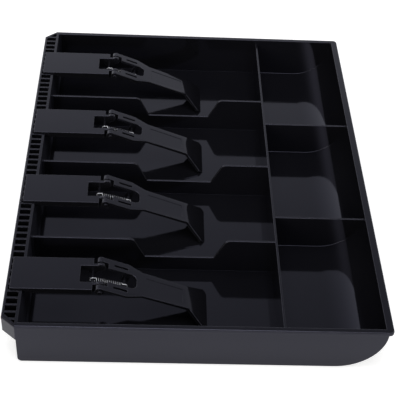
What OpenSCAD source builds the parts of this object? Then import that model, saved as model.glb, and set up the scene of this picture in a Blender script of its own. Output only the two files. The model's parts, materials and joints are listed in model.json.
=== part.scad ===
// Cash drawer insert: a moulded tray with four note bays and three coin cups, and four spring clips
// that plug into a ladder of sockets along the rear ledge.
// X runs across the tray, the coin cups are at -Y, the rear ledge is at +Y and Z is up.
// The origin is under the middle of the base. All sizes are in millimetres.

/* [Tray] */
// Overall width across the rim
tray_w = 325; // [300:1:360]
// Overall depth from the rear ledge to the front lip
tray_d = 245; // [235:1:270]
// Height of the rim above the base
tray_h = 34.5; // [33:0.5:42]
// Thickness of the floor and of the scooped front
floor_t = 2; // [1.6:0.1:3]
// Thickness of the side walls
side_t = 2.9; // [2:0.1:4]
// Distance that each side wall leans in from rim to base
side_draft = 0.5; // [0:0.1:1.5]
// Thickness of the rear wall
rear_t = 1.9; // [1.8:0.1:4]
// Outside radius of the scooped front
front_r = 31; // [24:0.5:31.5]
// Outside radius under the rear wall
rear_r = 3; // [1:0.5:6]

/* [Rim] */
// Height of the rim's lip
lip_h = 2.6; // [1.5:0.1:4]
// Overhang of the lip at the sides
side_lip = 0.7; // [0.3:0.1:2]
// Overhang of the lip at the front
front_lip = 3; // [1.5:0.1:6]
// Corner radius of the front lip
lip_r = 3; // [1:0.5:6]

/* [Rear ledge] */
// Overhang of the ledge behind the rear wall
ledge_d = 9; // [7:0.5:12]
// Depth of the ledge below the rim
ledge_h = 13.7; // [12:0.1:20]
// Thickness of the ledge's outer skirt
skirt_t = 1.8; // [1.5:0.1:3]
// Thickness of the ledge's underside
ledge_floor_t = 1.8; // [1:0.1:3]
// Width of the slanted cut at each end of the ledge
ledge_cut = 8; // [4:0.5:14]
// Distance between the ladder's ribs
rib_pitch = 5.85; // [5:0.05:7]
// Thickness of a rib
rib_t = 1.5; // [1:0.1:2.5]
// Sideways place of the ladder's middle socket
ladder_shift = -0.9; // [-3:0.1:3]

/* [Dividers] */
// Thickness of every divider
divider_t = 1.6; // [1.4:0.1:3]
// Height of the note dividers above the base
divider_h = 30.4; // [24:0.1:32]
// Height of the coin dividers above the base
coin_divider_h = 28.8; // [20:0.1:30]
// Distance between note dividers
bay_pitch = 79; // [74:0.5:84]
// Distance between coin dividers
cup_pitch = 105.3; // [95:0.1:115]
// Distance from the rear edge to the divider between notes and coins
till_line = 177; // [165:1:190]
// Length of a divider's notch along its bottom
notch_len = 47; // [30:1:60]
// Height of the notch's bottom above the base
notch_z = 14.2; // [8:0.1:20]
// Length of the notch's slanted ends
notch_run = 8; // [4:0.5:12]
// Distance from the rear edge to the notch's middle
notch_mid = 111.5; // [100:0.5:120]
// Radius of the notch's upper corners
notch_r = 5; // [2:0.5:6]

/* [Clip base] */
// Width of the arm
arm_w = 28; // [26:0.5:32]
// Thickness of the arm over the rim
arm_skin = 1.5; // [1:0.1:3]
// Thickness of the arm ahead of the rear wall
arm_t = 4.4; // [3:0.1:6]
// Wall left around the hollow underside
arm_wall = 1.8; // [1.2:0.1:2.5]
// Width of the slot between the prongs
slot_w = 14.5; // [12:0.5:16]
// Length of the slot
slot_len = 8.3; // [5:0.1:12]
// Distance from the prong ends to the hinge
prong_gap = 4.7; // [4:0.1:7]
// Length of the legs that plug into the ladder
leg_len = 9; // [5:0.5:10]
// Clearance of the plugged arm around the rear wall and sockets
plug_gap = 0.25; // [0.1:0.05:0.4]
// Gap between the arm's end and the ledge's skirt
end_gap = 1; // [0.2:0.1:2]
// Thickness of a hinge ear
ear_t = 2; // [1.5:0.1:2.5]
// Radius of an ear's nose
ear_r = 3; // [2.5:0.1:3.5]

/* [Hinge] */
// Distance from the rear edge to the hinge
hinge_set = 59.8; // [55:0.1:64]
// Depth of the hinge below the rim
hinge_drop = 0.6; // [0:0.1:3]
// Radius of the trunnions
trunnion_r = 1.5; // [1.2:0.05:2]
// Running clearance of a trunnion in its knuckle
trunnion_gap = 0.06; // [0.02:0.01:0.1]
// Length of a trunnion's end that shows beyond its knuckle
trunnion_end = 1.2; // [0.5:0.1:2]

/* [Clip lever] */
// Angle of the lever below level
lever_tilt = 20.6; // [18:0.1:22]
// Thickness of the lever
lever_t = 2; // [1.4:0.1:3]
// Radius of the knuckles
knuckle_r = 3.2; // [2.8:0.1:3.6]
// Height of the lever's upper face above the hinge line
lever_rise = 3; // [2.4:0.1:3.2]
// Width of the fork
fork_w = 28.4; // [27:0.2:34]
// Length of the fork's straight legs
fork_len = 17.6; // [14:0.1:20]
// Width of the opening between the legs
opening_w = 12; // [9:0.5:13]
// Distance from the hinge to the end of the opening
opening_len = 23.7; // [21:0.1:26]
// Sideways gap between an ear and a knuckle
knuckle_gap = 1.05; // [0.4:0.05:1.5]
// Distance from the lever's middle to the slit along each leg
slit_at = 9.6; // [9:0.1:10.5]
// Width of the slit
slit_w = 1.7; // [0.6:0.1:1.8]
// Length of the slit
slit_len = 9.5; // [5:0.5:11]
// Width of the bar at its neck
neck_w = 20.6; // [17:0.2:24]
// Distance from the hinge to the neck
neck_at = 28; // [27:0.1:34]
// Width of the bar at its elbow
elbow_w = 19.6; // [14:0.2:20]
// Distance from the hinge to the elbow
elbow_at = 60.4; // [50:0.1:64]
// Depth of the shallow panel along the bar
panel_d = 0.3; // [0.2:0.1:0.9]
// Width of the rails beside the panel
rail_w = 4.2; // [2:0.1:5]

/* [Foot] */
// Angle of the foot below level
foot_tilt = 46; // [40:1:60]
// Thickness of the foot
foot_t = 2; // [1.4:0.1:3]
// Width of the foot where it meets the floor
foot_w = 34.4; // [28:0.2:40]
// Length of the foot's straight flare
foot_flare = 14.5; // [8:0.5:15]
// Radius of the foot's corners
foot_r = 4.5; // [2:0.5:5]
// Gap between foot and floor
rest_gap = 0.2; // [0.1:0.05:0.5]

/* [Spring] */
// Diameter of the wire
wire_d = 0.6; // [0.5:0.05:0.65]
// Radius of the coil at the wire's middle
coil_r = 1.65; // [1.4:0.05:1.9]
// Number of turns
turns = 12; // [8:1:13]
// Radius of the hooks at the wire's middle
hook_r = 1.6; // [1.5:0.05:1.8]
// Straight run between a hook's middle and the coil
hook_run = 2.2; // [2.1:0.1:3.4]
// Radius of the bars that hold the hooks
bar_r = 1; // [0.7:0.05:1.1]
// Thickness of the lugs under the lever's legs
lug_t = 1.8; // [1.4:0.1:2.4]
// Wall around the bars
bar_wall = 0.7; // [0.5:0.05:1]
// Distance of the base's spring bar behind the hinge
base_bar_back = 5.3; // [4.5:0.1:6.5]
// Depth of the base's spring bar below the hinge
base_bar_drop = 3.6; // [3:0.1:4.2]
// Distance of the lever's spring bar along the lever
lever_bar_at = 17.6; // [16:0.1:18]
// Depth of the lever's spring bar below the hinge line
lever_bar_drop = 3; // [1.8:0.1:3]

/* [Hidden] */
$fn = 48;
black_plastic = [0.06, 0.06, 0.07];
spring_steel = [0.75, 0.76, 0.78];
// Overrun of cuts past the faces that they open
over = 1;
// Depth that joined shapes share
joint = 0.5;

// Places along the tray's depth
rear_y = tray_d / 2;
wall_y = rear_y - ledge_d;
bay_rear_y = wall_y - rear_t;
till_y = rear_y - till_line;
front_y = -tray_d / 2 + front_lip;
hinge_y = rear_y - hinge_set;
hinge_z = tray_h - hinge_drop;

// Half widths of the side walls, outside at rim and base
half_rim = tray_w / 2 - side_lip;
half_base = half_rim - side_draft;

// Sockets that each clip sits away from the one nearest to the middle of its bay
socket_offsets = [0, 1, 0, 0];
outer_mid = (bay_pitch + divider_t / 2 + half_rim - side_t) / 2;
bay_mids = [-outer_mid, -bay_pitch / 2, bay_pitch / 2, outer_mid];
function clip_x(i) = ladder_shift + rib_pitch * (round(bay_mids[i] / rib_pitch) + socket_offsets[i]);

// Points on an arc about c, from angle a to angle b
function arc(c, r, a, b, steps = 8) =
    [for (k = [0:steps]) let (t = a + (b - a) * k / steps) c + r * [cos(t), sin(t)]];

function unit(v) = v / norm(v);

// Lays a profile in Y and Z along X
module along_x(length) {
    rotate([90, 0, 90]) linear_extrude(length, center = true) children();
}

// Lays a profile in X and Z along Y
module along_y(length) {
    rotate([90, 0, 0]) linear_extrude(length, center = true) children();
}

// Cylinder along X between two places
module rod(x0, x1, r) {
    translate([x0, 0, 0]) rotate([0, 90, 0]) cylinder(r = r, h = x1 - x0);
}

// Waste outside a rounded corner at the origin of the quarter plane x > 0, y > 0
module corner_waste(r) {
    difference() {
        translate([-over, -over]) square(r + over);
        translate([r, r]) circle(r, $fn = 96);
    }
}

// Tray profile in Y and Z, with its lower corners rounded
module tray_profile(front, rear, base, top, front_radius, rear_radius) {
    difference() {
        translate([front, base]) square([rear - front, top - base]);
        translate([front, base]) corner_waste(front_radius);
        translate([rear, base]) mirror([1, 0]) corner_waste(rear_radius);
    }
}

// Drafted profile in X and Z, from one half width at the base to another at the rim
module drafted_profile(low_half, high_half, base, top) {
    polygon([[-low_half, base], [low_half, base], [high_half, top], [-high_half, top]]);
}

module tray_body() {
    intersection() {
        along_x(tray_w) tray_profile(front_y, wall_y, 0, tray_h, front_r, rear_r);
        along_y(tray_d) drafted_profile(half_base, half_rim, 0, tray_h);
    }
}

// Space inside the walls
module hollow() {
    top = tray_h + over;
    intersection() {
        along_x(tray_w)
            tray_profile(front_y + floor_t, bay_rear_y, floor_t, top, front_r - floor_t, rear_r / 2);
        along_y(tray_d) drafted_profile(half_base - side_t, half_rim - side_t, 0, top);
    }
}

// Plan of the ledge behind a line, with its slanted ends
module ledge_plan(half, inner_y, outer_y) {
    polygon([[-half, inner_y], [half, inner_y], [half, wall_y], [half - ledge_cut, outer_y],
             [ledge_cut - half, outer_y], [-half, wall_y]]);
}

module rim() {
    translate([0, 0, tray_h - lip_h]) linear_extrude(lip_h) {
        ledge_plan(tray_w / 2, bay_rear_y, rear_y);
        difference() {
            translate([-tray_w / 2, -tray_d / 2]) square([tray_w, tray_d / 2 + bay_rear_y + joint]);
            for (side = [0, 1]) mirror([side, 0])
                translate([-tray_w / 2, -tray_d / 2]) corner_waste(lip_r);
        }
    }
}

module ledge() {
    intersection() {
        translate([0, 0, tray_h - ledge_h]) linear_extrude(ledge_h)
            ledge_plan(half_rim, bay_rear_y, rear_y);
        along_y(tray_d + over) drafted_profile(half_base, half_rim, 0, tray_h);
    }
}

// Open sockets between the ladder's ribs
module ladder_sockets() {
    depth = ledge_h - ledge_floor_t;
    count = floor(tray_w / 2 / rib_pitch);
    socket_w = rib_pitch - rib_t;
    translate([0, 0, tray_h - depth]) intersection() {
        linear_extrude(depth + over) difference() {
            ledge_plan(half_rim - skirt_t, wall_y, rear_y - skirt_t);
            translate([-tray_w / 2, -tray_d]) square([tray_w, tray_d + wall_y]);
        }
        for (k = [-count:count])
            translate([ladder_shift + k * rib_pitch - socket_w / 2, wall_y - over, 0])
                cube([socket_w, ledge_d + over, depth + over]);
    }
}

// Notch of a note divider in Y and Z, with rounded upper corners
module notch_profile() {
    slope = atan2(divider_h - notch_z, notch_run);
    reach = notch_r * tan(slope / 2);
    half_top = notch_len / 2 + notch_run;
    corner = [half_top + reach, divider_h - notch_r];
    right = arc(corner, notch_r, 90 + slope, 90);
    edge = concat([[notch_len / 2, notch_z]], right, [[half_top + reach, divider_h + over]]);
    left = [for (k = [len(edge) - 1:-1:0]) [-edge[k].x, edge[k].y]];
    polygon(concat(edge, left));
}

module note_divider() {
    along_x(divider_t) difference() {
        translate([till_y, 0]) square([wall_y - till_y, divider_h]);
        translate([rear_y - notch_mid, 0]) notch_profile();
    }
}

module dividers() {
    for (k = [-1:1]) translate([k * bay_pitch, 0, 0]) note_divider();
    translate([-tray_w / 2, till_y - divider_t / 2, 0]) cube([tray_w, divider_t, divider_h]);
    for (side = [-1, 1])
        translate([side * cup_pitch / 2 - divider_t / 2, -tray_d / 2, 0])
            cube([divider_t, tray_d / 2 + till_y, coin_divider_h]);
}

module tray() {
    color(black_plastic) difference() {
        union() {
            tray_body();
            rim();
            ledge();
        }
        difference() {
            hollow();
            dividers();
        }
        ladder_sockets();
    }
}

// Places a clip on its hinge, with +Y towards the coin cups
module on_hinge(i) {
    translate([clip_x(i), hinge_y, hinge_z]) rotate([0, 0, 180]) children();
}

// Heights and places of the clip base, seen from the hinge
arm_top = hinge_drop + arm_skin;
arm_low = arm_top - arm_t;
slot_root = -prong_gap - slot_len;
arm_rear = skirt_t + end_gap - hinge_set;
socket_front = ledge_d - hinge_set - plug_gap;
wall_front = ledge_d + rear_t - hinge_set + plug_gap;
ear_in = slot_w / 2;
ear_out = ear_in + ear_t;
base_bar = [-base_bar_back, -base_bar_drop];
bar_land = bar_r + bar_wall;

module arm_plate() {
    difference() {
        union() {
            translate([-arm_w / 2, arm_rear, hinge_drop])
                cube([arm_w, -prong_gap - arm_rear, arm_skin]);
            translate([-arm_w / 2, wall_front, arm_low])
                cube([arm_w, -prong_gap - wall_front, arm_t]);
        }
        translate([-slot_w / 2, slot_root, arm_low - over])
            cube([slot_w, slot_len + over, arm_t + 2 * over]);
        translate([arm_wall - arm_w / 2, wall_front + arm_wall, arm_low - over])
            cube([arm_w - 2 * arm_wall, slot_root - wall_front - 2 * arm_wall, arm_t - arm_wall + over]);
    }
}

// Side of a hinge ear in Y and Z, with a lobe below for the spring bar
module ear_profile() {
    lobe_low = base_bar.y - bar_land;
    polygon([[slot_root - arm_wall, arm_top], [0, arm_top], [0, -ear_r], [base_bar.x + bar_land, lobe_low],
             [base_bar.x - bar_land, lobe_low], [base_bar.x - arm_t, arm_low], [slot_root - arm_wall, arm_low]]);
    circle(ear_r);
}

module clip_base(i) {
    leg_w = rib_pitch - rib_t - 2 * plug_gap;
    color(black_plastic) on_hinge(i) {
        arm_plate();
        for (side = [-1, 1]) {
            translate([side * (ear_in + ear_out) / 2, 0, 0]) along_x(ear_t) ear_profile();
            translate([side * rib_pitch - leg_w / 2, arm_rear, hinge_drop - leg_len])
                cube([leg_w, socket_front - arm_rear, leg_len + joint]);
        }
        rod(ear_out - joint, fork_w / 2 + trunnion_end, trunnion_r);
        rod(-fork_w / 2 - trunnion_end, joint - ear_out, trunnion_r);
        translate([0, base_bar.x, base_bar.y]) rod(-ear_in - joint, ear_in + joint, bar_r);
    }
}

// Sizes of the lever in its own plane, with +Y along the lever and the hinge at the origin
lever_low = lever_rise - lever_t;
knuckle_in = ear_out + knuckle_gap;
leg_start = ear_r + knuckle_gap;
opening_r = opening_w / 3;
slit_mid = fork_len - slit_len / 2;
foot_drop = hinge_z - floor_t - rest_gap - elbow_at * sin(lever_tilt) + lever_rise * cos(lever_tilt);
foot_len = foot_drop / sin(foot_tilt);

// Outline of the lever from above, without its foot
module lever_plan() {
    half = [[fork_w / 2, 0], [fork_w / 2, fork_len], [neck_w / 2, neck_at], [elbow_w / 2, elbow_at + joint]];
    difference() {
        polygon(concat(half, [for (k = [3:-1:0]) [-half[k].x, half[k].y]]));
        translate([-knuckle_in, -over]) square([2 * knuckle_in, leg_start + over]);
        difference() {
            translate([-opening_w / 2, -over]) square([opening_w, opening_len + over]);
            for (side = [0, 1]) mirror([side, 0])
                translate([-opening_w / 2, opening_len]) mirror([0, 1]) corner_waste(opening_r);
        }
        for (side = [-1, 1])
            translate([side * slit_at, slit_mid]) square([slit_w, slit_len], center = true);
    }
}

// Shallow panel along the top of the bar, between its rails
module bar_panel() {
    y0 = neck_at + rail_w / 2;
    y1 = elbow_at - rail_w;
    h0 = neck_w / 2 - rail_w;
    h1 = elbow_w / 2 - rail_w;
    translate([0, 0, lever_rise - panel_d]) linear_extrude(panel_d + over)
        polygon([[-h0, y0], [h0, y0], [h1, y1], [-h1, y1]]);
}

// Outline of the flared foot in its own plane
module foot_plan() {
    tip = max(foot_len, foot_flare + foot_r) + foot_t;
    right = concat([[elbow_w / 2 - joint, -joint]],
                   arc([foot_w / 2 - foot_r, foot_flare], foot_r, 0, 90),
                   [[foot_w / 2 - foot_r, tip]]);
    left = [for (k = [len(right) - 1:-1:0]) [-right[k].x, right[k].y]];
    polygon(concat(right, left));
}

// Turns to the foot's plane, with the elbow's upper edge at the origin
module at_elbow() {
    translate([0, elbow_at, lever_rise]) rotate([lever_tilt - foot_tilt, 0, 0]) children();
}

// Block that stands on the plane z = 0 and covers the lever
module above() {
    translate([-foot_w, -2 * elbow_at, 0]) cube([2 * foot_w, 4 * elbow_at, elbow_at]);
}

// Lever and foot plates, trimmed to upper faces that meet at the elbow
module lever_plates() {
    difference() {
        union() {
            translate([0, 0, lever_low]) linear_extrude(lever_t + over) lever_plan();
            at_elbow() translate([0, 0, -foot_t]) linear_extrude(foot_t + over) foot_plan();
        }
        translate([0, 0, lever_rise]) above();
        at_elbow() above();
    }
}

module lever_solid() {
    difference() {
        union() {
            lever_plates();
            rod(knuckle_in, fork_w / 2, knuckle_r);
            rod(-fork_w / 2, -knuckle_in, knuckle_r);
            for (side = [-1, 1])
                translate([side * (opening_w + lug_t) / 2, lever_bar_at, 0])
                    lug();
            translate([0, lever_bar_at, -lever_bar_drop])
                rod(-opening_w / 2 - joint, opening_w / 2 + joint, bar_r);
        }
        bar_panel();
        rod(-fork_w, fork_w, trunnion_r + trunnion_gap);
    }
}

// Lug under a leg that carries the spring bar
module lug() {
    low = -lever_bar_drop - bar_land;
    reach = bar_land + lug_t / 2;
    translate([-lug_t / 2, -reach, low]) cube([lug_t, 2 * reach, joint + lever_low - low]);
}

module clip_lever(i) {
    floor_z = floor_t + rest_gap - hinge_z;
    color(black_plastic) on_hinge(i) difference() {
        rotate([-lever_tilt, 0, 0]) lever_solid();
        translate([-foot_w, 0, floor_z - foot_len]) cube([2 * foot_w, 2 * elbow_at, foot_len]);
    }
}

// Ends of the spring, seen from the hinge in Y and Z
lever_bar = lever_bar_at * [cos(lever_tilt), -sin(lever_tilt)]
    - lever_bar_drop * [sin(lever_tilt), cos(lever_tilt)];
spring_line = lever_bar - base_bar;
spring_len = norm(spring_line);
coil_len = spring_len - 2 * hook_run;
coil_pitch = coil_len / turns;
rings_per_turn = 8;
wire_sides = 6;
hook_sweep = 230;
hook_rings = 6;
bend_rings = 4;
bend_pull = 1;

// Path of the wire's middle: X across, Y from the base's bar to the lever's bar, Z up
function helix_point(a) = [coil_r * sin(a), hook_run + coil_pitch * a / 360, coil_r * cos(a)];
function hook_point(y, a) = [0, y + hook_r * cos(a), hook_r * sin(a)];
function bezier(p, t) =
    pow(1 - t, 3) * p[0] + 3 * t * pow(1 - t, 2) * p[1] + 3 * t * t * (1 - t) * p[2] + pow(t, 3) * p[3];
function bend(p) = [for (k = [1:bend_rings]) bezier(p, k / (bend_rings + 1))];
helix_way = unit([coil_r * PI * 2, coil_pitch, 0]);
rear_arc = [for (k = [0:hook_rings]) hook_point(0, 90 + hook_sweep * (1 - k / hook_rings))];
front_arc = [for (k = [0:hook_rings]) hook_point(spring_len, 90 - hook_sweep * k / hook_rings)];
coil = [for (k = [0:turns * rings_per_turn]) helix_point(k * 360 / rings_per_turn)];
coil_end = coil[len(coil) - 1];
rear_bend = bend([hook_point(0, 90), hook_point(0, 90) + [0, bend_pull, 0], coil[0] - bend_pull * helix_way, coil[0]]);
front_bend = bend([coil_end, coil_end + bend_pull * helix_way,
                   hook_point(spring_len, 90) - [0, bend_pull, 0], hook_point(spring_len, 90)]);
rear_end = rear_arc[0] - wire_d * [0, sin(90 + hook_sweep), -cos(90 + hook_sweep)];
front_end = front_arc[hook_rings] + wire_d * [0, sin(90 - hook_sweep), -cos(90 - hook_sweep)];
wire = concat([rear_end], rear_arc, rear_bend, coil, front_bend, front_arc, [front_end]);

// Least gap of the wire to itself, between points at least three rings apart
least_gap = min([for (i = [0:len(wire) - 4], j = [i + 3:len(wire) - 1]) norm(wire[i] - wire[j])]) - wire_d;
echo(str("least gap between the spring's turns, mm: ", least_gap));

// Directions along the wire, and a side direction that turns with it as little as it can
last = len(wire) - 1;
ways = [for (k = [0:last]) unit(wire[min(k + 1, last)] - wire[max(k - 1, 0)])];
sides = [for (k = 0, s = [1, 0, 0]; k <= last;
              k = k + 1, s = k <= last ? unit(s - (s * ways[k]) * ways[k]) : s) s];

module wire_tube() {
    n = wire_sides;
    rings = [for (k = [0:last], j = [0:n - 1])
        let (a = 360 * j / n, s = unit(sides[k] - (sides[k] * ways[k]) * ways[k]))
        wire[k] + wire_d / 2 * (cos(a) * s + sin(a) * cross(ways[k], s))];
    skin = [for (k = [0:last - 1], j = [0:n - 1], half = [0, 1])
        let (a = k * n + j, b = k * n + (j + 1) % n)
        half == 0 ? [a, b, b + n] : [a, b + n, a + n]];
    caps = [for (j = [1:n - 2], end = [0, 1])
        end == 0 ? [0, j + 1, j] : [last * n, last * n + j, last * n + j + 1]];
    polyhedron(rings, [for (f = concat(skin, caps)) [f[0], f[2], f[1]]]);
}

module clip_spring(i) {
    color(spring_steel) on_hinge(i) translate([0, base_bar.x, base_bar.y])
        rotate([atan2(spring_line.y, spring_line.x), 0, 0]) wire_tube();
}

tray();
clip_base(0);  // clip_base_1
clip_base(1);  // clip_base_2
clip_base(2);  // clip_base_3
clip_base(3);  // clip_base_4
clip_lever(0);  // clip_lever_1
clip_lever(1);  // clip_lever_2
clip_lever(2);  // clip_lever_3
clip_lever(3);  // clip_lever_4
clip_spring(0);  // clip_spring_1
clip_spring(1);  // clip_spring_2
clip_spring(2);  // clip_spring_3
clip_spring(3);  // clip_spring_4
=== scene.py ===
import json
import math
import bpy
from mathutils import Matrix, Vector


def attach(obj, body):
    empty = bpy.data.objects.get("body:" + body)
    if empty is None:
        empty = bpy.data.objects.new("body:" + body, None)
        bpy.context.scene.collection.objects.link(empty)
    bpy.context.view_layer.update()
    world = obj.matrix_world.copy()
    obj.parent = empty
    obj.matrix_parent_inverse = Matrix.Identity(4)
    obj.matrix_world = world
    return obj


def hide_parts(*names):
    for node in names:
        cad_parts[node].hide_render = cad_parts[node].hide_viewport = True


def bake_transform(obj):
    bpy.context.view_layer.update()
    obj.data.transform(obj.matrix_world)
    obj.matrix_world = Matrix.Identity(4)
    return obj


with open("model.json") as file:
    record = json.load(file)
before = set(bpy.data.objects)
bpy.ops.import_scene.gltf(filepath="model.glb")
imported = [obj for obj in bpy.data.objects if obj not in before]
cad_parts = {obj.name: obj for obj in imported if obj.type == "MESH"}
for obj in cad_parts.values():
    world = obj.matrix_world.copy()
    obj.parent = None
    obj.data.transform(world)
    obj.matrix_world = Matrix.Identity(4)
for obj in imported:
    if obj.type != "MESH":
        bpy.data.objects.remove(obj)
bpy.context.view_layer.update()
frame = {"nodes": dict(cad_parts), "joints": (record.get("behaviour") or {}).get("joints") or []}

scene = bpy.context.scene
scene.view_settings.view_transform = "Standard"
print("frame loaded:", len(frame["nodes"]), "CAD nodes")


class Wire:
    # one output socket; maths on it is written as plain Python
    def __init__(self, surface, socket):
        self.surface = surface
        self.socket = socket

    def maths(self, operation, first, second):
        return self.surface.node("ShaderNodeMath", {"operation": operation}, {0: first, 1: second})

    def __add__(self, other):
        return self.maths("ADD", self, other)

    def __sub__(self, other):
        return self.maths("SUBTRACT", self, other)

    def __rsub__(self, other):
        return self.maths("SUBTRACT", other, self)

    def __mul__(self, other):
        return self.maths("MULTIPLY", self, other)

    def __pow__(self, other):
        return self.maths("POWER", self, other)

    def __rpow__(self, other):
        return self.maths("POWER", other, self)

    def atLeast(self, other):
        return self.maths("MAXIMUM", self, other)

    def above(self, other):
        return self.maths("GREATER_THAN", self, other)

    def below(self, other):
        return self.maths("LESS_THAN", self, other)

    __radd__ = __add__
    __rmul__ = __mul__


class Surface:
    # a node tree under construction, for a material or the world
    def __init__(self, owner):
        owner.use_nodes = True
        self.owner = owner
        self.tree = owner.node_tree
        self.tree.nodes.clear()

    def node(self, kind, settings=None, sockets=None, out=0):
        made = self.tree.nodes.new(kind)
        for key, value in (settings or {}).items():
            if key == "stops":
                ramp = made.color_ramp
                while len(ramp.elements) < len(value):
                    ramp.elements.new(1.0)
                for element, (place, shade) in zip(ramp.elements, value):
                    element.position = place
                    element.color = (shade, shade, shade, 1)
            else:
                setattr(made, key, value)
        for key, value in (sockets or {}).items():
            if isinstance(value, Wire):
                self.tree.links.new(value.socket, made.inputs[key])
            else:
                made.inputs[key].default_value = value
        return Wire(self, made.outputs[out]) if made.outputs else None

    def noise(self, coords, scale, detail=2.0, rough=0.5):
        sockets = {"Vector": coords, "Scale": scale, "Detail": detail, "Roughness": rough}
        return self.node("ShaderNodeTexNoise", None, sockets)

    def stretched(self, coords, scale):
        return self.node("ShaderNodeMapping", None, {"Vector": coords, "Scale": scale})

    def axis(self, coords, name):
        return self.node("ShaderNodeSeparateXYZ", None, {"Vector": coords}, name)

    def attribute(self, name):
        return self.node("ShaderNodeAttribute", {"attribute_name": name}, None, "Fac")

    def ramp(self, value, stops):
        return self.node("ShaderNodeValToRGB", {"stops": stops}, {"Fac": value})

    def mixColour(self, fac, low, high):
        def asColour(value):
            return value if isinstance(value, Wire) else (*value, 1)

        # the node's colours are inputs 6 and 7, and output 2
        sockets = {0: fac, 6: asColour(low), 7: asColour(high)}
        return self.node("ShaderNodeMix", {"data_type": "RGBA"}, sockets, out=2)

    def bump(self, height, depth, strength):
        sockets = {"Height": height, "Distance": depth, "Strength": strength}
        return self.node("ShaderNodeBump", None, sockets)


noiseMiddle = 0.5  # value that a noise swings about

# black moulded plastic: fine mould grain, slow changes of gloss, light rubbing, paler convex edges that
# are part wear and part painted highlight
plasticLook = {
    "cloudScale": 17.0,
    "cloudDetail": 3.0,
    "glossSwing": 0.04,
    "rub": 0.05,
    "rubRough": 0.6,
    "rubStops": [(0.56, 0.0), (0.68, 1.0)],
    "rubBump": 0.4,
    # paler colour of the convex edges: part edge wear, part painted highlight
    "edge": (0.030, 0.030, 0.036),
    "edgeGloss": 0.34,
    "wearAndHighlight": 0.55,
    "wearAndHighlightSwing": 0.9,
    "wearAndHighlightScale": 140.0,
    "wearAndHighlightDetail": 3.0,
    "grainScale": 2600,
    "grainRough": 0.55,
    "bump": 0.6,
    "ior": 1.47,
    "tint": (0.70, 0.71, 1.0, 1),
}
trayFinish = {
    "name": "blackTrayPlastic",
    "dark": (0.0042, 0.0042, 0.0056),
    "pale": (0.0068, 0.0068, 0.0088),
    "gloss": 0.065,
    "rubScale": (900, 26, 260),
    "grainDepth": 0.000002,
    "matt": 0.75,  # etched mould face behind the notes
    "mattFrom": 0.1098,
    "mattTo": 0.1128,
    "mattTop": 0.0338,
    "mattSide": 0.1600,
}
clipFinish = {
    "name": "blackClipPlastic",
    "dark": (0.0050, 0.0050, 0.0066),
    "pale": (0.0080, 0.0080, 0.0102),
    "gloss": 0.09,
    "rubScale": (700, 60, 200),
    "grainDepth": 0.000003,
}


# 1 on the face behind the notes, 0 elsewhere
def behindNotes(surface, coords, finish):
    side, depth, height = (surface.axis(coords, name) for name in "XYZ")
    inDepth = depth.above(finish["mattFrom"]) * depth.below(finish["mattTo"])
    inHeight = height.below(finish["mattTop"])
    inside = (side * side).below(finish["mattSide"] ** 2)
    return inDepth * inHeight * inside


def blackPlastic(own):
    finish = {**plasticLook, **own}
    surface = Surface(bpy.data.materials.new(finish["name"]))
    coords = surface.node("ShaderNodeTexCoord", None, None, "Object")
    cloud = surface.noise(coords, finish["cloudScale"], finish["cloudDetail"])
    rubbed = surface.noise(surface.stretched(coords, finish["rubScale"]), 1.0, rough=finish["rubRough"])
    rubbed = surface.ramp(rubbed, finish["rubStops"])
    grain = surface.noise(coords, finish["grainScale"], rough=finish["grainRough"])
    patches = surface.noise(coords, finish["wearAndHighlightScale"], finish["wearAndHighlightDetail"])
    # convex rounded edges get a paler colour in patches: part edge wear, part painted highlight
    wornAndHighlit = surface.attribute("wornEdge") * (finish["wearAndHighlight"] + finish["wearAndHighlightSwing"] * (patches - noiseMiddle))
    colour = surface.mixColour(cloud, finish["dark"], finish["pale"])
    colour = surface.mixColour(wornAndHighlit, colour, finish["edge"])
    rough = finish["gloss"] + finish["glossSwing"] * (cloud - noiseMiddle) + finish["rub"] * rubbed
    rough = rough + wornAndHighlit * (finish["edgeGloss"] - finish["gloss"])
    if "matt" in finish:
        rough = rough + behindNotes(surface, coords, finish) * (finish["matt"] - finish["gloss"])
    relief = surface.bump(grain + finish["rubBump"] * rubbed, finish["grainDepth"], finish["bump"])
    shader = surface.node("ShaderNodeBsdfPrincipled", None, {
        "Base Color": colour, "Roughness": rough, "IOR": finish["ior"],
        "Specular Tint": finish["tint"], "Normal": relief})
    surface.node("ShaderNodeOutputMaterial", None, {"Surface": shader})
    return surface.owner


# bright zinc-plated spring wire, with painted shade between the turns of the coil
wireFinish = {
    "name": "springWire",
    "dark": (0.80, 0.81, 0.88),
    "pale": (0.92, 0.93, 0.99),
    # near-black colour of the painted shade on the coil
    "paintedShade": (0.02, 0.02, 0.024),
    "gloss": 0.16,
    "glossSwing": 0.1,
    "metal": 0.35,
    "cloudScale": 420.0,
    "drawnScale": 5200,
    "drawnDetail": 3.0,
    "drawnRough": 0.6,
    "drawnDepth": 0.000006,
    "bump": 0.5,
}


def springWire(finish):
    surface = Surface(bpy.data.materials.new(finish["name"]))
    coords = surface.node("ShaderNodeTexCoord", None, None, "Object")
    drawn = surface.noise(coords, finish["drawnScale"], finish["drawnDetail"], finish["drawnRough"])
    cloud = surface.noise(coords, finish["cloudScale"])
    colour = surface.mixColour(cloud, finish["dark"], finish["pale"])
    # painted shade: the coil's turns darken, most where the wire faces into the coil
    colour = surface.mixColour(surface.attribute("coilOil"), colour, finish["paintedShade"])
    rough = finish["gloss"] + finish["glossSwing"] * drawn
    relief = surface.bump(drawn, finish["drawnDepth"], finish["bump"])
    shader = surface.node("ShaderNodeBsdfPrincipled", None, {
        "Base Color": colour, "Metallic": finish["metal"], "Roughness": rough, "Normal": relief})
    surface.node("ShaderNodeOutputMaterial", None, {"Surface": shader})
    return surface.owner


trayPlastic = blackPlastic(trayFinish)
clipPlastic = blackPlastic(clipFinish)
steelWire = springWire(wireFinish)
print("materials made")


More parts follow.
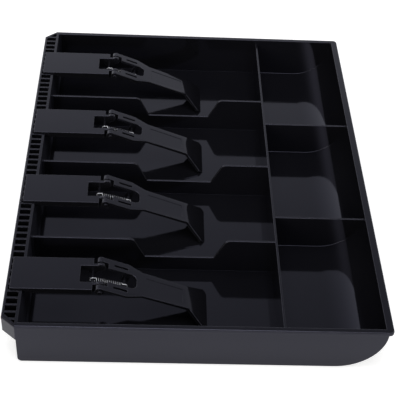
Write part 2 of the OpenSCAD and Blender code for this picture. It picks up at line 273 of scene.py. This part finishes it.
def activate(obj):
    bpy.ops.object.select_all(action="DESELECT")
    obj.select_set(True)
    bpy.context.view_layer.objects.active = obj


def applyModifier(obj, kind, **settings):
    activate(obj)
    bpy.ops.object.modifier_add(type=kind)
    modifier = obj.modifiers[-1]
    for key, value in settings.items():
        setattr(modifier, key, value)
    bpy.ops.object.modifier_apply(modifier=modifier.name)


def newPiece(name, mesh):
    obj = bpy.data.objects.new(name, mesh)
    scene.collection.objects.link(obj)
    return obj


def finishPiece(obj, material, node):
    obj.data.materials.clear()
    obj.data.materials.append(material)
    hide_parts(node)


# each edge's turn in degrees: above 0 where the solid bulges, below 0 in a corner
def edgeTurns(mesh):
    sides = {}
    for face in mesh.polygons:
        loops = list(face.loop_indices)
        for here, after in zip(loops, loops[1:] + loops[:1]):
            start, end = mesh.loops[here].vertex_index, mesh.loops[after].vertex_index
            sides.setdefault(mesh.loops[here].edge_index, []).append((face, start, end))
    turns = {}
    for edge, pair in sides.items():
        if len(pair) == 2:
            (face, start, end), other = pair[0], pair[1][0]
            way = (mesh.vertices[end].co - mesh.vertices[start].co).normalized()
            bulge = face.normal.cross(other.normal).dot(way)
            turns[edge] = math.degrees(math.atan2(bulge, face.normal.dot(other.normal)))
    return turns


# how the faces of a CAD solid are joined up and rounded, angles in degrees
mouldLook = {
    "weldGap": 0.000002,
    "flatWithin": 0.4,
    "sharpFrom": 30,
    "steps": 3,
    "roundedSlot": 1,  # marks the rounded edges until they are read
    "smoothTo": 40,
    "faceWeight": 100,
}


# each sharp edge's radius, as a share of the widest
def weighEdges(mesh, widest, radiusAt):
    weights = mesh.attributes.new("bevel_weight_edge", "FLOAT", "EDGE")
    for edge, turn in edgeTurns(mesh).items():
        if abs(turn) > mouldLook["sharpFrom"]:
            middle = sum((mesh.vertices[v].co for v in mesh.edges[edge].vertices), Vector()) / 2
            weights.data[edge].value = radiusAt(middle, turn) / widest


# the rounded convex edges stay marked for the finish's paler colour, part wear and part painted highlight;
# the ones in corners do not
def markWornAndHighlitEdges(mesh):
    turnOf = edgeTurns(mesh)
    wornAndHighlit = mesh.attributes.new("wornEdge", "FLOAT", "FACE")
    for face in mesh.polygons:
        if face.material_index == mouldLook["roundedSlot"]:
            turn = sum(turnOf.get(mesh.loops[k].edge_index, 0.0) for k in face.loop_indices)
            wornAndHighlit.data[face.index].value = 1.0 if turn > 0 else 0.0
        face.material_index = 0


# a moulding takes the CAD solid's faces, joined up, and gets the radii of its mould;
# the seams keep flat faces that run round a hole in pieces that have none
def moulding(node, name, widest, seams, radiusAt):
    look = mouldLook
    obj = newPiece(name, frame["nodes"][node].data.copy())
    activate(obj)
    bpy.ops.object.mode_set(mode="EDIT")
    bpy.ops.mesh.select_all(action="SELECT")
    bpy.ops.mesh.remove_doubles(threshold=look["weldGap"])
    for place, normal in seams:
        bpy.ops.mesh.select_all(action="SELECT")
        bpy.ops.mesh.bisect(plane_co=place, plane_no=normal, threshold=look["weldGap"])
        bpy.ops.mesh.mark_seam()
    bpy.ops.mesh.select_all(action="SELECT")
    bpy.ops.mesh.dissolve_limited(angle_limit=math.radians(look["flatWithin"]), delimit={"SEAM"})
    bpy.ops.object.mode_set(mode="OBJECT")
    weighEdges(obj.data, widest, radiusAt)
    obj.data.materials.clear()
    for slot in range(look["roundedSlot"] + 1):
        obj.data.materials.append(trayPlastic)
    applyModifier(obj, "BEVEL", width=widest, segments=look["steps"], limit_method="WEIGHT",
                  use_clamp_overlap=False, miter_outer="MITER_ARC", material=look["roundedSlot"])
    markWornAndHighlitEdges(obj.data)
    activate(obj)
    bpy.ops.object.shade_smooth_by_angle(angle=math.radians(look["smoothTo"]))
    applyModifier(obj, "WEIGHTED_NORMAL", keep_sharp=True, weight=look["faceWeight"])
    return obj


acrossX, acrossY, acrossZ = (1, 0, 0), (0, 1, 0), (0, 0, 1)

trayLook = {
    "widest": 0.0016,
    "rimRadius": 0.0009,
    "cupRadius": 0.0004,
    "bayRadius": 0.00005,
    "edgeRadius": 0.0004,
    "lipRadius": 0.0002,
    "socketLine": 0.1158,
    "ladderFrom": 0.1105,
    "lipFrom": 0.0318,
    "rimFrom": 0.0342,
    "shellFrom": (0.1605, -0.1190),
    "rearFrom": 0.1221,
    "cornerWay": (9, 8),  # normal of the ledge's cut corner
    "cornerFrom": 2.360,
    "cupsFrom": -0.0545,
}


# one radius along each run of edges that flow into each other
def trayRadius(place, turn):
    look = trayLook
    across, back = abs(place.x), place.y
    onShell = across > look["shellFrom"][0] or back < look["shellFrom"][1]
    onCorner = look["cornerWay"][0] * across + look["cornerWay"][1] * back > look["cornerFrom"]
    onOutline = onShell or onCorner or back > look["rearFrom"]
    if onOutline and place.z > look["rimFrom"] and turn > 0:
        return look["rimRadius"]
    if onShell and place.z > look["lipFrom"]:
        return look["lipRadius"]
    if turn < 0:
        return look["cupRadius"] if back < look["cupsFrom"] else look["bayRadius"]
    return look["lipRadius"] if back > look["ladderFrom"] and not onShell else look["edgeRadius"]


traySeams = [((0, 0, 0), acrossX), ((0, 0, 0), acrossY), ((0, trayLook["socketLine"], 0), acrossY)]
tray = moulding("tray", "tray_moulding", trayLook["widest"], traySeams, trayRadius)
finishPiece(tray, trayPlastic, "tray")
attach(tray, "till")
print("tray:", len(tray.data.polygons), "faces")

# arm and lever of a clip, shaped once on the first hinge and copied to the others
clipLook = {
    "widest": 0.0006,
    "edgeRadius": 0.0003,
    "fineRadius": 0.0001,
    "panelWide": 0.0064,
    "panelRun": (0.0285, 0.0555),
    "slitAt": 0.0096,
}
hinges = [Vector(joint["pos_m"]) for joint in frame["joints"]]
armSeams = [(hinges[0], acrossX), (hinges[0], acrossY), (hinges[0], acrossZ)]
leverSeams = []
for across in (-clipLook["slitAt"], 0, clipLook["slitAt"]):
    leverSeams.append((hinges[0] + Vector((across, 0, 0)), acrossX))
leverSeams.append((hinges[0], acrossY))


# fine in corners and round the lever's shallow panel, so that rounded edges leave each other room
def clipRadius(place, turn):
    look = clipLook
    across, ahead = abs(place.x - hinges[0].x), hinges[0].y - place.y
    onPanel = across < look["panelWide"] and look["panelRun"][0] < ahead < look["panelRun"][1]
    return look["fineRadius"] if onPanel or turn < 0 else look["edgeRadius"]


def copyTo(obj, name, hinge):
    twin = newPiece(name, obj.data.copy())
    twin.data.transform(Matrix.Translation(hinge - hinges[0]))
    return twin


firstArm = moulding("clip_base_1", "clip_arm_1", clipLook["widest"], armSeams, clipRadius)
firstLever = moulding("clip_lever_1", "clip_hold_down_1", clipLook["widest"], leverSeams, clipRadius)
for number, hinge in enumerate(hinges, 1):
    arm = firstArm if number == 1 else copyTo(firstArm, f"clip_arm_{number}", hinge)
    lever = firstLever if number == 1 else copyTo(firstLever, f"clip_hold_down_{number}", hinge)
    finishPiece(arm, clipPlastic, f"clip_base_{number}")
    finishPiece(lever, clipPlastic, f"clip_lever_{number}")
    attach(arm, "till")
    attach(lever, f"lever_{number}")
print("clips:", len(firstArm.data.polygons), "faces an arm,", len(firstLever.data.polygons), "a lever")

# extension spring between the arm's bar and the lever's bar, seen from the hinge, angles in degrees
springLook = {
    "wire": 0.0006,
    "coilRadius": 0.00165,
    "turns": 12,
    "hookRadius": 0.0016,
    "hookRun": 0.0022,
    "hookSweep": 230,
    "bendPull": 0.001,
    "bendSteps": 12,
    "armBar": (-0.0053, -0.0036),
    "leverBar": (0.0176, -0.003),
    "leverTilt": 20.6,
    "ringsPerTurn": 26,
    "wireRoundness": 3,
    "smoothTo": 50,
    # painted shade on the coil: its share on the crests, and how fast it grows towards the flanks
    "crestShade": 0.3,
    "flankShade": 3.0,
}


# points between the two ends of a curve that leaves and arrives along its pulls
def bezierPoints(ends, count):
    points = []
    for step in range(1, count):
        t = step / count
        a, b, c, d = (1 - t) ** 3, 3 * t * (1 - t) ** 2, 3 * t * t * (1 - t), t ** 3
        points.append(a * ends[0] + b * ends[1] + c * ends[2] + d * ends[3])
    return points


# the wire's middle: hook on the arm's bar, bend, coil, bend, hook on the lever's bar
def springRoute(look, length):
    radius, hook, run = look["coilRadius"], look["hookRadius"], look["hookRun"]
    pitch = (length - 2 * run) / look["turns"]
    rings = look["ringsPerTurn"]
    along = Vector((0, 1, 0))

    def hookPoint(place, degrees):
        turn = math.radians(degrees)
        return Vector((0, place + hook * math.cos(turn), hook * math.sin(turn)))

    steps = round(rings * look["hookSweep"] / 360)
    rearHook = [hookPoint(0, 90 + look["hookSweep"] * (1 - k / steps)) for k in range(steps + 1)]
    frontHook = [hookPoint(length, 90 - look["hookSweep"] * k / steps) for k in range(steps + 1)]
    coil = []
    for k in range(look["turns"] * rings + 1):
        turn = 2 * math.pi * k / rings
        coil.append(Vector((radius * math.sin(turn), run + pitch * k / rings, radius * math.cos(turn))))
    way = Vector((2 * math.pi * radius, pitch, 0)).normalized() * look["bendPull"]
    pull = along * look["bendPull"]
    rearEnds = [rearHook[-1], rearHook[-1] + pull, coil[0] - way, coil[0]]
    frontEnds = [coil[-1], coil[-1] + way, frontHook[0] - pull, frontHook[0]]
    rearBend = bezierPoints(rearEnds, look["bendSteps"])
    frontBend = bezierPoints(frontEnds, look["bendSteps"])
    rearTip = rearHook[0] + (rearHook[0] - rearHook[1]).normalized() * look["wire"]
    frontTip = frontHook[-1] + (frontHook[-1] - frontHook[-2]).normalized() * look["wire"]
    return [rearTip, *rearHook, *rearBend, *coil, *frontBend, *frontHook, frontTip]


# both bars as seen from the hinge, and the turn from there to the frame
def springBars(look, hinge):
    tilt = math.radians(look["leverTilt"])
    at, drop = look["leverBar"]
    ahead = at * math.cos(tilt) + drop * math.sin(tilt)
    height = drop * math.cos(tilt) - at * math.sin(tilt)
    armBar, leverBar = Vector((0, *look["armBar"])), Vector((0, ahead, height))
    toFrame = Matrix.Translation(hinge) @ Matrix.Rotation(math.pi, 4, "Z")
    return armBar, leverBar, toFrame


# painted shade on the coil's turns, least on their crests; the hooks get none
def markCoilShade(mesh, rear, front, look):
    paintedShade = mesh.attributes.new("coilOil", "FLOAT", "POINT")
    way = (front - rear).normalized()
    for vertex in mesh.vertices:
        along = (vertex.co - rear).dot(way)
        if look["hookRun"] < along < (front - rear).length - look["hookRun"]:
            # painted shade grows as the wire's surface turns away from the outside of the coil
            outward = (vertex.co - rear - way * along).normalized()
            flank = 1.0 - vertex.normal.dot(outward)
            paintedShade.data[vertex.index].value = min(1.0, look["crestShade"] + look["flankShade"] * flank)


def springCoil(look, hinge):
    armBar, leverBar, toFrame = springBars(look, hinge)
    line = leverBar - armBar
    toHinge = Matrix.Translation(armBar) @ Matrix.Rotation(math.atan2(line.z, line.y), 4, "X")
    route = [toFrame @ toHinge @ point for point in springRoute(look, line.length)]
    curve = bpy.data.curves.new("clip_coil_1", "CURVE")
    curve.dimensions = "3D"
    curve.bevel_depth = look["wire"] / 2
    curve.bevel_resolution = look["wireRoundness"]
    curve.use_fill_caps = True
    spline = curve.splines.new("POLY")
    spline.points.add(len(route) - 1)
    for point, place in zip(spline.points, route):
        point.co = (*place, 1)
    activate(newPiece(curve.name, curve))
    bpy.ops.object.convert(target="MESH")
    bpy.ops.object.shade_smooth_by_angle(angle=math.radians(look["smoothTo"]))
    obj = bpy.context.view_layer.objects.active
    markCoilShade(obj.data, toFrame @ armBar, toFrame @ leverBar, look)
    return obj


firstCoil = springCoil(springLook, hinges[0])
for number, hinge in enumerate(hinges, 1):
    coil = firstCoil if number == 1 else copyTo(firstCoil, f"clip_coil_{number}", hinge)
    finishPiece(coil, steelWire, f"clip_spring_{number}")
    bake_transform(coil)
print("springs:", len(firstCoil.data.polygons), "faces each")

# plain white floor that keeps the shadow and adds white of its own to what the camera and the gloss see
floorLook = {
    "size": 16.0,
    "height": -0.0004,
    "colour": (0.66, 0.66, 0.67),
    "own": 0.68,
    "mirrored": 0.42,
}


def studioFloor(look):
    bpy.ops.object.select_all(action="DESELECT")
    bpy.ops.mesh.primitive_plane_add(size=look["size"], location=(0, 0, look["height"]))
    floor = bpy.context.view_layer.objects.active
    floor.name = "studio_floor"
    bpy.ops.object.transform_apply(location=True)
    surface = Surface(bpy.data.materials.new("studioFloor"))
    rays = {}
    for kind in ("Camera", "Transmission", "Glossy"):
        rays[kind] = surface.node("ShaderNodeLightPath", None, None, f"Is {kind} Ray")
    share = look["own"] * (rays["Camera"] + rays["Transmission"]) + look["mirrored"] * rays["Glossy"]
    diffuse = surface.node("ShaderNodeBsdfDiffuse", None, {"Color": (*look["colour"], 1)})
    glow = surface.node("ShaderNodeEmission", None, {"Color": (1, 1, 1, 1), "Strength": 1.0})
    both = surface.node("ShaderNodeAddShader", None, {0: diffuse, 1: glow})
    lit = surface.node("ShaderNodeMixShader", None, {0: share, 1: diffuse, 2: both})
    surface.node("ShaderNodeOutputMaterial", None, {"Surface": lit})
    floor.data.materials.append(surface.owner)


studioFloor(floorLook)

# dim studio room with a pale backdrop beyond the tray, a weak glow from the camera's side
# and a tall window to the camera's left
roomLook = {
    "level": 0.06,
    "tint": (0.97, 0.98, 1.0),
    "glows": {
        "backdrop": {
            "way": (0.9375, 0.1839, -0.2955),
            "focus": 1.84,
            "strength": 1.62,
            "tint": (0.97, 0.98, 1.0),
        },
        "cameraSide": {
            "way": (-0.90, 0.0, 0.436),
            "focus": 3.0,
            "strength": 0.45,
            "tint": (0.97, 0.98, 1.0),
        },
        "window": {
            "way": (-0.794, 0.496, 0.350),
            "focus": 45.0,
            "strength": 8.0,
            "tint": (1.0, 0.96, 0.82),
        },
    },
}


def studioRoom(look):
    room = Surface(bpy.data.worlds.new("studioRoom"))
    sight = room.node("ShaderNodeTexCoord", None, None, "Generated")
    level = {"Color": (*look["tint"], 1), "Strength": look["level"]}
    shine = room.node("ShaderNodeBackground", None, level)
    for glow in look["glows"].values():
        ways = {0: sight, 1: glow["way"]}
        facing = room.node("ShaderNodeVectorMath", {"operation": "DOT_PRODUCT"}, ways, "Value")
        strength = glow["strength"] * facing.atLeast(0.0) ** glow["focus"]
        lobe = room.node("ShaderNodeBackground", None, {"Color": (*glow["tint"], 1), "Strength": strength})
        shine = room.node("ShaderNodeAddShader", None, {0: shine, 1: lobe})
    room.node("ShaderNodeOutputWorld", None, {"Surface": shine})
    scene.world = room.owner


studioRoom(roomLook)

# softboxes, aimed at the tray
softboxes = {
    "overhead": {"place": (-0.10, 0.05, 1.25), "size": 0.9, "power": 8.0},
    "fill": {"place": (-0.30, -1.20, 0.95), "size": 0.7, "power": 3.0},
}
for name, box in softboxes.items():
    bpy.ops.object.light_add(type="AREA", location=box["place"])
    lamp = bpy.context.view_layer.objects.active
    lamp.name = "softbox_" + name
    lamp.data.size = box["size"]
    lamp.data.energy = box["power"]
    lamp.rotation_euler = (-Vector(box["place"])).to_track_quat("-Z", "Y").to_euler()
print("floor, room and softboxes placed")

# camera as solved from the tray's rim, dividers and outline in the photograph, angles in radians
cameraLook = {
    "place": (-0.58970, 0.03229, 0.53054),
    "yaw": -0.0642,
    "pitch": 0.7360,
    "roll": 0.0681,
    "focalPixels": 1055.1,
    "framePixels": 400,
    "sensor": 36.0,
    "nearest": 0.01,
}


def placeCamera(look):
    yaw, pitch, roll = look["yaw"], look["pitch"], look["roll"]
    ahead = Vector((math.cos(pitch) * math.cos(yaw), math.cos(pitch) * math.sin(yaw), -math.sin(pitch)))
    side = ahead.cross(Vector((0, 0, 1))).normalized()
    up = side.cross(ahead)
    right = math.cos(roll) * side + math.sin(roll) * up
    top = math.cos(roll) * up - math.sin(roll) * side
    turned = Matrix((right, top, -ahead)).transposed().to_4x4()
    bpy.ops.object.camera_add()
    camera = bpy.context.view_layer.objects.active
    camera.matrix_world = Matrix.Translation(look["place"]) @ turned
    camera.data.sensor_width = look["sensor"]
    camera.data.lens = look["sensor"] * look["focalPixels"] / look["framePixels"]
    camera.data.clip_start = look["nearest"]
    scene.camera = camera


placeCamera(cameraLook)
print("camera placed")
